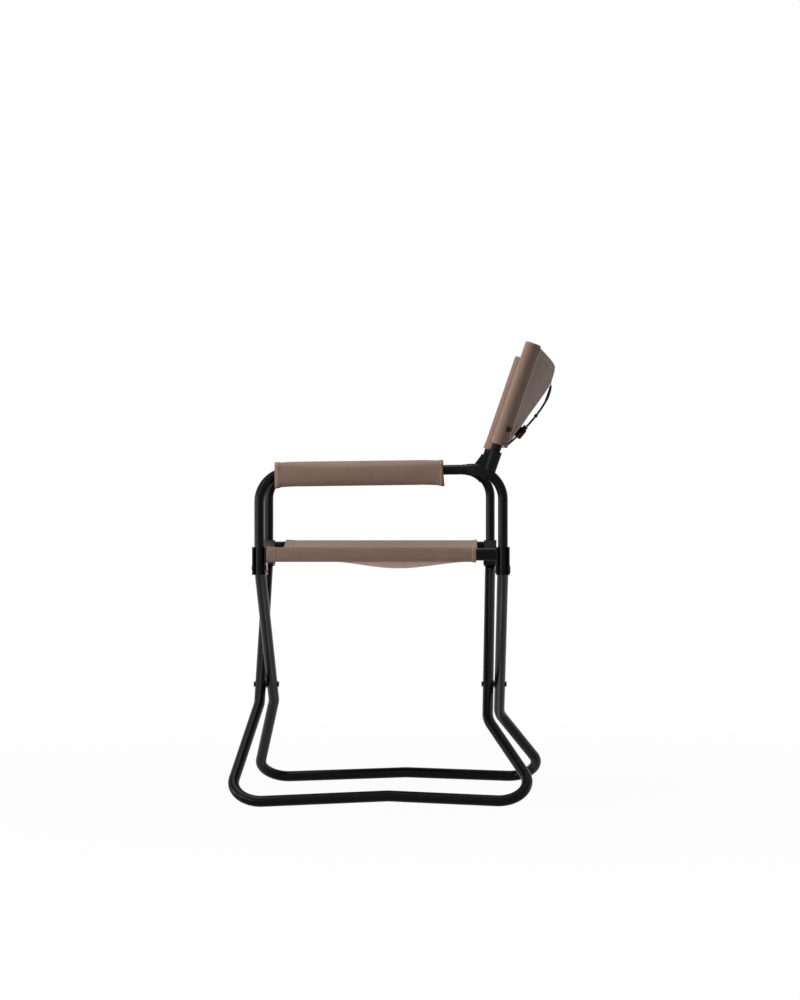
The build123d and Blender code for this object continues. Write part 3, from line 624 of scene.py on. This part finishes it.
SLEEVE_LOW = 0.048
SLEEVE_TOP = PANEL_TOP
SLEEVE_LEAVES = acos(SLEEVE_RADIUS / SLEEVE_SEAM)  # the angle from its rear at which it leaves the post
SLEEVE_STITCHES = 0.0150  # from its outer side, round to the rear
SLEEVE_CLOTH = 0.0018
SLEEVE_HEM = 0.011
SLEEVE_HEM_LAYER = 0.0006
SLEEVE_HEM_CUTS = (0.0008, 0.0105, 0.0115, 0.0125)
SLEEVE_SLACK = 0.0004
SEAM_RISE_HEIGHT = 0.03  # how far up the sleeve the rise at its foot is felt
sleeve_canvas = canvas("taupe_canvas_sleeve", on_its_cut, [(0, SLEEVE_STITCHES)])


def back_sleeve(title, side, foot, carrier):
    """Modelled upright round the world's own axis, then leant and set on its post."""
    select_nothing()
    length = SLEEVE_TOP - SLEEVE_LOW
    bpy.ops.mesh.primitive_cylinder_add(
        vertices=64, radius=SLEEVE_RADIUS, depth=length, location=(0, 0, SLEEVE_LOW + length / 2)
    )
    sleeve = bpy.context.object
    sleeve.name = sleeve.data.name = title
    bpy.ops.object.transform_apply(location=True, rotation=True, scale=True)
    bpy.ops.object.mode_set(mode="EDIT")
    bpy.ops.mesh.select_all(action="DESELECT")
    bpy.ops.object.mode_set(mode="OBJECT")
    for face in sleeve.data.polygons:
        face.select = face.normal.z < -0.5
    bpy.ops.object.mode_set(mode="EDIT")
    bpy.ops.mesh.delete(type="FACE")
    heights = [SLEEVE_LOW + cut for cut in SLEEVE_HEM_CUTS]
    above = SLEEVE_HEM_CUTS[-1]
    heights += [SLEEVE_LOW + above + (length - above) * k / 22 for k in range(1, 22)]
    for height in heights:
        bpy.ops.mesh.select_all(action="SELECT")
        bpy.ops.mesh.bisect(plane_co=(0, 0, height), plane_no=(0, 0, 1))
    bpy.ops.mesh.select_all(action="DESELECT")
    bpy.ops.object.mode_set(mode="OBJECT")
    for edge in sleeve.data.edges:
        edge.select = all(sleeve.data.vertices[v].co.z > SLEEVE_TOP - 1e-5 for v in edge.vertices)
    bpy.ops.object.mode_set(mode="EDIT")
    bpy.ops.mesh.bevel(offset=0.0030, segments=3)
    bpy.ops.object.mode_set(mode="OBJECT")
    for vertex in sleeve.data.vertices:
        x, y, z = vertex.co
        radius = Vector((x, y)).length
        if radius < 0.004:  # the middle of the closed top
            continue
        from_rear = atan2(abs(x), y)
        hem = SLEEVE_HEM_LAYER if z < SLEEVE_LOW + SLEEVE_HEM else 0
        unevenness = noise.noise(Vector((atan2(y, x * side) * 1.3, z * 30, side * 2.0)))
        grown = 1 + (hem + SLEEVE_SLACK * unevenness) / radius
        if from_rear < SLEEVE_LEAVES:
            grown /= cos(SLEEVE_LEAVES - from_rear)
            near_foot = max(0, 1 - (z - SLEEVE_LOW) / SEAM_RISE_HEIGHT)
            z += SEAM_RISE * (1 - from_rear / SLEEVE_LEAVES) * near_foot
        vertex.co = (x * grown, y * grown, z)
    uv = sleeve.data.uv_layers.active or sleeve.data.uv_layers.new(name="UVMap")
    uv.name = "UVMap"
    for face in sleeve.data.polygons:
        middle = atan2(face.center.y, face.center.x * side)
        for k in face.loop_indices:
            x, y, z = sleeve.data.vertices[sleeve.data.loops[k].vertex_index].co
            turn = atan2(y, x * side)
            turn += 2 * pi * round((middle - turn) / (2 * pi))
            uv.data[k].uv = (turn * SLEEVE_RADIUS, z - SLEEVE_LOW)
    wall = sleeve.modifiers.new("cloth", "SOLIDIFY")
    wall.thickness = SLEEVE_CLOTH
    wall.offset = -1
    apply_modifiers(sleeve)
    sleeve.data.transform(Matrix.Translation(foot) @ Matrix.Rotation(-LEAN, 4, "X"))
    bpy.ops.object.shade_smooth_by_angle(angle=radians(50))
    sleeve.data.materials.append(sleeve_canvas)
    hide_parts("back_fabric")
    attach(sleeve, carrier)
    return sleeve


left_sleeve = back_sleeve("left_back_sleeve", 1, LEFT_FOOT, "left_arm")
right_sleeve = back_sleeve("right_back_sleeve", -1, RIGHT_FOOT, "right_arm")
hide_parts("back_fabric")
crumples(back_panel)

# Seat
# One cut of the same canvas. Each side is folded round its rail into a sleeve and sewn to itself under the
# seat, the front and rear edges are hemmed, and the middle hangs lowest between the rails.

RAIL_X = 0.296
RAIL_Z = 0.439
SEAT_FRONT = -0.2158
SEAT_DEPTH = 0.361
SEAT_CLOTH = 0.0018
SEAT_LOW = 0.4083
SEAT_ENDS_RISE = 0.0145  # how much higher the front and rear edges hang than the lowest place
SAG_MIDDLE_Y = 0.003
SAG_HALF_LENGTH = 0.087
SEAT_PULL_HEIGHT = 0.0005
SEAT_PULL_SPACING = 0.034
SEAT_SLACK = 0.0018
WEB_EDGE = 0.291  # where the web leaves the rail's top
WEB_TOP = 0.4507


def web_height(x, low):
    """The height of an arc that hangs from both rails' tops and is lowest in the middle."""
    rise = WEB_TOP - low
    round_radius = (WEB_EDGE**2 + rise**2) / (2 * rise)
    return low + round_radius - sqrt(round_radius**2 - x**2)


# Places across and up of the sleeve's end, where it is sewn to the web from below
SEWN_LAP = [(0.279, 0.4449), (0.274, 0.4436), (0.269, 0.4423)]


def rail_wrap():
    """The cloth's middle round the left rail, from the rail's top, round its outer side, to the sewn lap."""
    half_width, half_height, corner = 0.0114, 0.0117, 0.0064
    corners = [(1, 1, 90), (1, -1, 0), (-1, -1, -90)]
    points = []
    for sign_x, sign_z, start in corners:
        for k in range(6):
            turn = radians(start - 18 * k)
            points.append((
                RAIL_X + sign_x * (half_width - corner) + corner * cos(turn),
                RAIL_Z + sign_z * (half_height - corner) + corner * sin(turn),
            ))
        if sign_z > 0:
            points += [(RAIL_X + half_width, RAIL_Z + 0.002), (RAIL_X + half_width, RAIL_Z - 0.002)]
    inner = RAIL_X - half_width
    points += [(inner, RAIL_Z), (inner - 0.0002, RAIL_Z + 0.0045), (inner - 0.0016, RAIL_Z + 0.0068)]
    return points + SEWN_LAP


WEB_STEPS = 34
half_profile = [(WEB_EDGE * k / WEB_STEPS, None) for k in range(WEB_STEPS)] + rail_wrap()
profile = [(-x, z) for x, z in reversed(half_profile[1:])] + half_profile

# How far back the grid's cross lines lie: at the front hem, between the hems, and at the rear hem
FRONT_HEM_ROWS = [0, 0.0012, 0.0085, 0.0155, 0.0165, 0.0178]
REAR_HEM_ROWS = [0.3535, 0.3548, 0.3560, 0.3598, 0.3609]
seat_rows = FRONT_HEM_ROWS + [
    0.0178 + (SEAT_DEPTH - 0.0178 - 0.0085) * k / 38 for k in range(1, 39)
] + REAR_HEM_ROWS


def seat_point(k, depth):
    """One point of the cloth's middle, k steps round its profile from the right rail's lap."""
    x, z = profile[k]
    y = SEAT_FRONT + depth
    off_middle = abs(y - SAG_MIDDLE_Y)
    low = SEAT_LOW + SEAT_ENDS_RISE * (1 - exp(-((off_middle / SAG_HALF_LENGTH) ** 2)))
    if z is None:
        z = web_height(abs(x), low)
        edge = exp(-(WEB_EDGE - abs(x)) / 0.05)
        z += SEAT_PULL_HEIGHT * edge * sin(2 * pi * y / SEAT_PULL_SPACING + 3 * sin(y * 31))
        z += SEAT_SLACK * (1 - (x / WEB_EDGE) ** 2) * noise.noise(Vector((x * 7, y * 9, 1.3)))
    return Vector((x, y, z))


SEAT_HEM_LAYER = 0.0007
SEAT_FRONT_HEM_END = 0.016
SEAT_REAR_HEM_START = 0.3545


def seat_surface(column, row):
    """The web and both sleeves, with the hems' second layer and their slightly rolled edges."""
    k = round(column * (len(profile) - 1))
    depth = at_share(seat_rows, row)
    here = seat_point(k, depth)
    before, after = seat_point(max(k - 1, 0), depth), seat_point(min(k + 1, len(profile) - 1), depth)
    way = (after - before).normalized()
    outwards = Vector((-way.z, 0, way.x))
    hemmed = depth < SEAT_FRONT_HEM_END or depth > SEAT_REAR_HEM_START
    layers = SEAT_HEM_LAYER if hemmed else 0
    layers += 0.0006 * (exp(-depth / 0.004) + exp(-(SEAT_DEPTH - depth) / 0.003))
    return here + outwards * layers


# The flat cut's length across, measured round the profile in the middle of the seat
seat_cut = [0.0]
for k in range(1, len(profile)):
    seat_cut.append(seat_cut[-1] + (seat_point(k, 0.18) - seat_point(k - 1, 0.18)).length)
seat_width = seat_cut[-1]

# A row of stitches along each hem, and two rows along each lap
seat_canvas = canvas(
    "taupe_canvas_seat", on_its_cut,
    [(1, 0.0142), (1, 0.3557), (0, 0.006), (0, 0.010), (0, seat_width - 0.006),
     (0, seat_width - 0.010)],
)
seat = cloth_grid(
    "seat_sling", len(profile) - 1, len(seat_rows) - 1, seat_surface, SEAT_CLOTH,
    lambda column, row: (
        seat_cut[round(column * (len(profile) - 1))], at_share(seat_rows, row)
    ),
)
seat.data.materials.append(seat_canvas)
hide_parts("seat_fabric")
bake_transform(seat)

# Arm pads
# A foam tube under a sewn canvas cover, slid on the straight of each arm. The cover is open at both ends,
# where it is hemmed and its lower corners stand a little proud, and closed by a seam underneath.

PAD_LENGTH = 0.289
PAD_WIDTH = 0.040
PAD_HEIGHT = 0.042
PAD_MIDDLE = -0.004  # of its height, from the tube's own middle
ARM_SLOPE = radians(0.75)
PAD_START = 0.0010  # how much smaller the cover starts, before the foam fills it
PAD_CAP = 0.0014  # how far the foam may push it out
PAD_EDGE = 0.0075
PAD_HEM = 0.006
PAD_HEM_LAYER = 0.0012
PAD_TURNED_IN = 0.0035  # how deep the open end lies inside its hem
PAD_FLARE = 0.042  # the length of the end over which the lower corners stand proud
PAD_FLARE_DROP = 0.0036
PAD_FLARE_REACH = 0.0018
PAD_SEAM_DEPTH = 0.0012
PAD_SEAM_WIDTH = 0.0022
PAD_STITCHES = 0.0042  # from each end
PAD_CUTS = [k * 0.006 for k in range(-2, 3)] + [-0.0155, 0.0155]
PAD_STEPS = 48
PAD_STEP = 0.0057


def down_the_arm(tree):
    """The cover's place along the arm and round it, the same on its sides and on its top."""
    axes = add(tree, "SeparateXYZ", {0: add(tree, "TexCoord").outputs["Object"]}).outputs
    around = maths(tree, "ADD", axes[0], axes[2])
    return add(tree, "CombineXYZ", {0: axes[1], 1: around}).outputs[0]


def arm_pad(title, front, carrier, *stands_for):
    """Modelled flat round the world's own axis, then sloped and set on its arm."""
    select_nothing()
    half = PAD_LENGTH / 2
    size = (PAD_WIDTH - 2 * PAD_START, PAD_LENGTH, PAD_HEIGHT - 2 * PAD_START)
    bpy.ops.mesh.primitive_cube_add(size=1, scale=size)
    pad = bpy.context.object
    pad.name = pad.data.name = title
    bpy.ops.object.transform_apply(location=True, rotation=True, scale=True)
    bpy.ops.object.mode_set(mode="EDIT")
    bpy.ops.mesh.select_mode(type="EDGE")
    bpy.ops.mesh.select_all(action="DESELECT")
    bpy.ops.object.mode_set(mode="OBJECT")
    for edge in pad.data.edges:
        a, b = (pad.data.vertices[v].co for v in edge.vertices)
        edge.select = abs(a.y - b.y) > PAD_LENGTH / 2
    bpy.ops.object.mode_set(mode="EDIT")
    bpy.ops.mesh.bevel(offset=PAD_EDGE, segments=4)
    lengthwise = [-half + 0.0012, half - 0.0012, -half + PAD_HEM, half - PAD_HEM]
    lengthwise += [(k - (PAD_STEPS - 1) / 2) * PAD_STEP for k in range(PAD_STEPS)]
    cuts = [(0, place) for place in PAD_CUTS] + [(2, place) for place in PAD_CUTS]
    for axis, place in cuts + [(1, place) for place in lengthwise]:
        normal = [0, 0, 0]
        normal[axis] = 1
        bpy.ops.mesh.select_all(action="SELECT")
        bpy.ops.mesh.bisect(plane_co=[place * n for n in normal], plane_no=normal)
    bpy.ops.object.mode_set(mode="OBJECT")
    start = [v.co.copy() for v in pad.data.vertices]
    hems = pad.vertex_groups.new(name="hems")
    in_hems = [v.index for v in pad.data.vertices if abs(v.co.y) > half - PAD_HEM - 0.001]
    hems.add(in_hems, 1, "REPLACE")
    filling = pad.modifiers.new("Cloth", "CLOTH")
    filling.settings.quality = 5
    filling.settings.vertex_group_mass = "hems"
    filling.settings.use_pressure = True
    filling.settings.uniform_pressure_force = 4
    filling.settings.effector_weights.gravity = 0
    filling.point_cache.frame_start, filling.point_cache.frame_end = 1, 20
    for step in range(1, 21):
        bpy.context.scene.frame_set(step)
    apply_modifiers(pad)
    bpy.context.scene.frame_set(1)
    for vertex, was in zip(pad.data.vertices, start):
        moved = vertex.co - was
        if moved.length > PAD_CAP:
            vertex.co = was + moved.normalized() * PAD_CAP
    for vertex in pad.data.vertices:
        x, y, z = vertex.co
        end = max(0.0, half - abs(y))
        outermost = max(abs(x) / (PAD_WIDTH / 2), abs(z) / (PAD_HEIGHT / 2))
        if end < 0.0005 and outermost < 0.80:
            y -= PAD_TURNED_IN * (1 if y > 0 else -1)
        elif end < 0.0005:
            x, z = x * 0.99, z * 0.99
        else:
            hemmed = 1 + PAD_HEM_LAYER / (PAD_WIDTH / 2) * (end < PAD_HEM + 0.0005)
            x, z = x * hemmed, z * hemmed
        low = max(0.0, -z / (PAD_HEIGHT / 2))
        flare = max(0.0, 1 - end / PAD_FLARE) ** 2
        z -= PAD_FLARE_DROP * flare * low
        if y > 0:
            y += PAD_FLARE_REACH * low * flare
        if low > 0.6:
            z += PAD_SEAM_DEPTH * exp(-((x / PAD_SEAM_WIDTH) ** 2))
        vertex.co = (x, y, z)
    middle = Vector((0, half, PAD_MIDDLE))
    place = Matrix.Translation(front) @ Matrix.Rotation(ARM_SLOPE, 4, "X")
    pad.data.transform(place @ Matrix.Translation(middle))
    bpy.ops.object.shade_smooth_by_angle(angle=radians(60))
    rear_y = front.y + PAD_LENGTH
    pad.data.materials.append(canvas(
        title + "_canvas", down_the_arm,
        [(0, front.y + PAD_STITCHES), (0, rear_y - PAD_STITCHES)],
    ))
    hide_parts(*stands_for)
    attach(pad, carrier)


TO_PAD_FRONT = 0.182  # along the arm, from where each arm is level with the posts' feet
for arm, pad_x, middle_y in (("left", POST_X, -0.0184), ("right", -POST_X, -0.0394)):
    pad_front = Vector((pad_x, middle_y - TO_PAD_FRONT, ARM_Z - TO_PAD_FRONT * sin(ARM_SLOPE)))
    arm_pad(f"{arm}_arm_pad", pad_front, f"{arm}_arm", f"{arm}_pad_cover", f"{arm}_pad_foam")

# Frame tubes
# Round steel tubes bent cold, and rounded rectangular rails, all powder coated satin black. The coat has a
# fine orange-peel surface and is rubbed a little on its edges.

powder_peel, peel_in, peel_out = shared_effect(
    "powder_peel", [], [("Height", "Float"), ("Roughness", "Float"), ("Shade", "Float")]
)
peel_place = add(powder_peel, "TexCoord").outputs["Object"]
peel = add(
    powder_peel, "TexNoise", {"Vector": peel_place, "Scale": 900.0, "Detail": 1.0}
).outputs[0]
haze = add(
    powder_peel, "TexNoise", {"Vector": peel_place, "Scale": 22.0, "Detail": 3.0}
).outputs[0]
powder_peel.links.new(peel, peel_out[0])
rough_span = add(
    powder_peel, "MapRange",
    {"Value": haze, "From Min": 0.3, "From Max": 0.7, "To Min": 0.24, "To Max": 0.34},
).outputs[0]
powder_peel.links.new(rough_span, peel_out[1])
powder_peel.links.new(haze, peel_out[2])

rubbed_edges, rubbed_in, rubbed_out = shared_effect(
    "rubbed_edges", [("Radius", "Float")], [("Wear", "Float")]
)
rounded = add(rubbed_edges, "Bevel", {"Radius": rubbed_in[0]}, samples=4).outputs[0]
faced = add(rubbed_edges, "NewGeometry").outputs["Normal"]
likeness = add(
    rubbed_edges, "VectorMath", {0: rounded, 1: faced}, operation="DOT_PRODUCT"
).outputs["Value"]
edge_share = add(
    rubbed_edges, "MapRange",
    {"Value": likeness, "From Min": 0.995, "From Max": 0.90, "To Min": 0.0, "To Max": 1.0},
).outputs[0]
chips = add(
    rubbed_edges, "TexNoise",
    {"Vector": add(rubbed_edges, "TexCoord").outputs["Object"], "Scale": 160.0, "Detail": 3.0},
).outputs[0]
chip_share = add(
    rubbed_edges, "MapRange", {"Value": chips, "From Min": 0.42, "From Max": 0.62}
).outputs[0]
rubbed_edges.links.new(maths(rubbed_edges, "MULTIPLY", edge_share, chip_share), rubbed_out[0])


WEAR_SHARE = 0.6


def coated(title, dark, light, worn, edge, bump, **constants):
    """A coated or moulded finish: slight clouds of shade, a fine surface, and lighter rubbed edges."""
    material, tree, shader = finish_named(title, dark, 0.4, **constants)
    surface = add(tree, "Group", node_tree=powder_peel).outputs
    wear = add(tree, "Group", {0: edge}, node_tree=rubbed_edges).outputs[0]
    shade = mixed(tree, surface[2], dark, light)
    shade = mixed(tree, maths(tree, "MULTIPLY", wear, WEAR_SHARE), shade, worn)
    tree.links.new(shade, shader.inputs["Base Color"])
    tree.links.new(surface[1], shader.inputs["Roughness"])
    bumped(tree, shader, surface[0], bump, 0.5)
    return material


def dress(material, *names):
    """Gives CAD pieces their finish."""
    for name in names:
        slots = nodes[name].material_slots
        if not slots:
            nodes[name].data.materials.append(material)
        for material_slot in slots:
            material_slot.material = material


powder_coat = coated(
    "satin_black_powder_coat", colour(6, 6, 7), colour(10, 10, 11), colour(38, 37, 36),
    0.0008, 0.00006, specular_ior_level=0.07,
)
for side in ("left", "right"):
    dress(powder_coat, f"{side}_leg_loop", f"{side}_seat_rail", f"{side}_arm_frame", f"{side}_back_post")

# Moulded fittings
# The corner brackets, the caps and the bushes: glass-filled nylon, black, moulded with a slight gloss and
# paler on its sharp edges. The castings on the arms' rear bends are of the same nylon, polished brighter.

moulded_nylon = coated(
    "moulded_black_nylon", colour(6, 6, 7), colour(10, 10, 11), colour(44, 43, 43),
    0.0010, 0.00010, specular_ior_level=0.05, coat_weight=0.12, coat_roughness=0.2,
)
for side in ("left", "right"):
    dress(
        moulded_nylon, f"{side}_front_bracket", f"{side}_rear_bracket", f"{side}_post_cap",
        f"{side}_post_bushes", f"{side}_pivot_bushes",
    )
dress(moulded_nylon, "pivot_washers")

glossy_nylon = coated(
    "glossy_black_nylon", colour(4, 4, 5), colour(7, 7, 7), colour(44, 43, 43),
    0.0010, 0.00003, specular_ior_level=0.0, coat_weight=0.22, coat_roughness=0.25,
)
dress(glossy_nylon, "left_back_joint", "right_back_joint")

lock_nylon = coated(
    "cord_lock_nylon", colour(22, 12, 13), colour(32, 18, 19), colour(60, 44, 43),
    0.0008, 0.00008, specular_ior_level=0.08,
)
dress(lock_nylon, "cord_lock_body", "cord_lock_button")

# Pins, bolts, rivets, screws and press studs
# Blackened steel with bright worn edges, and dark brown lacquered studs on the sleeves.

blackened_steel = coated(
    "blackened_steel", colour(26, 26, 27), colour(40, 40, 41), colour(110, 109, 107),
    0.0004, 0.00003, metallic=1.0,
)
for side in ("left", "right"):
    dress(blackened_steel, f"{side}_hinge_pins", f"{side}_leg_rivets", f"{side}_joint_screws")
dress(blackened_steel, "pivot_bolts", "pivot_nuts")

stud_lacquer = coated(
    "dark_stud_lacquer", colour(12, 8, 7), colour(17, 12, 10), colour(36, 28, 24),
    0.0003, 0.00003, specular_ior_level=0.08,
)
dress(stud_lacquer, "left_sleeve_snap", "right_sleeve_snap")

# Floor and light
# A plain white floor under a white surround. A large soft lamp above, five from the chair's left round to its
# front, a weaker one behind it, and a low one for the light that a white sweep throws up under the seat.


def seen_white(tree):
    """1 for what the camera, a mirror or glass looks at directly, otherwise 0."""
    ray = add(tree, "LightPath").outputs
    seen = maths(tree, "MAXIMUM", ray["Is Camera Ray"], ray["Is Glossy Ray"])
    return maths(tree, "MAXIMUM", seen, ray["Is Transmission Ray"])


select_nothing()
bpy.ops.mesh.primitive_plane_add(size=900, location=(0, 0, cad_box[0][2] - 0.0001))
floor = bpy.context.object
floor.name = "studio_floor"
floor_paint = bpy.data.materials.new("white_floor_paint")
floor_paint.use_nodes = True
floor_tree = floor_paint.node_tree
floor_tree.nodes.clear()
lit = add(floor_tree, "BsdfDiffuse", {"Color": (0.45, 0.45, 0.45, 1)}).outputs[0]
bright = add(floor_tree, "Emission", {"Color": (1, 1, 1, 1), "Strength": 1.0}).outputs[0]
from_chair = add(
    floor_tree, "VectorMath", {0: add(floor_tree, "TexCoord").outputs["Object"]}, operation="LENGTH"
).outputs["Value"]
whiteness = add(
    floor_tree, "MapRange",
    {"Value": from_chair, "From Min": 0.4, "From Max": 2.2, "To Min": 0.96, "To Max": 1.0},
).outputs[0]
share = maths(floor_tree, "MULTIPLY", seen_white(floor_tree), whiteness)
floor_mix = add(floor_tree, "MixShader", {0: share, 1: lit, 2: bright}).outputs[0]
floor_tree.links.new(floor_mix, add(floor_tree, "OutputMaterial").inputs[0])
floor.data.materials.append(floor_paint)

world = bpy.data.worlds.new("white_surround")
bpy.context.scene.world = world
world.use_nodes = True
world_tree = world.node_tree
world_tree.nodes.clear()
world_strength = add(
    world_tree, "MapRange", {"Value": seen_white(world_tree), "To Min": 0.16, "To Max": 1.0}
).outputs[0]
surround = add(
    world_tree, "Background", {"Color": (1, 1, 1, 1), "Strength": world_strength}
).outputs[0]
world_tree.links.new(surround, add(world_tree, "OutputWorld").inputs[0])


def soft_lamp(title, place, towards, size, power, spread=pi):
    lamp_data = bpy.data.lights.new(title, "AREA")
    lamp_data.shape = "SQUARE"
    lamp_data.size = size
    lamp_data.energy = power
    lamp_data.spread = spread
    lamp = bpy.data.objects.new(title, lamp_data)
    lamp.location = place
    lamp.rotation_euler = (Vector(towards) - Vector(place)).to_track_quat("-Z", "Y").to_euler()
    lamp.visible_camera = False
    bpy.context.scene.collection.objects.link(lamp)


soft_lamp("top_lamp", (0.3, -0.4, 2.9), (0, 0, 0.4), 1.6, 58)
soft_lamp("side_lamp", (3.3, 0.1, 1.4), (0, 0, 0.3), 0.5, 3.5)
soft_lamp("front_side_lamp", (2.9, -1.8, 0.7), (0, 0, 0.5), 0.5, 23)
soft_lamp("front_left_lamp", (1.7, -2.9, 0.65), (0, 0, 0.5), 0.6, 33)
soft_lamp("high_left_lamp", (2.0, -2.1, 1.8), (0.3, 0.15, 0.6), 0.32, 16)
soft_lamp("front_lamp", (0.1, -3.3, 0.65), (0, 0, 0.5), 0.6, 34)
soft_lamp("rear_lamp", (-1.2, 3.0, 0.3), (0, 0, 0.6), 1.0, 10)
soft_lamp("low_lamp", (0, 0, 0.045), (0, 0, 1.0), 0.36, 0.5, radians(75))

# The view as the camera's own values give it
bpy.context.scene.view_settings.view_transform = "Standard"
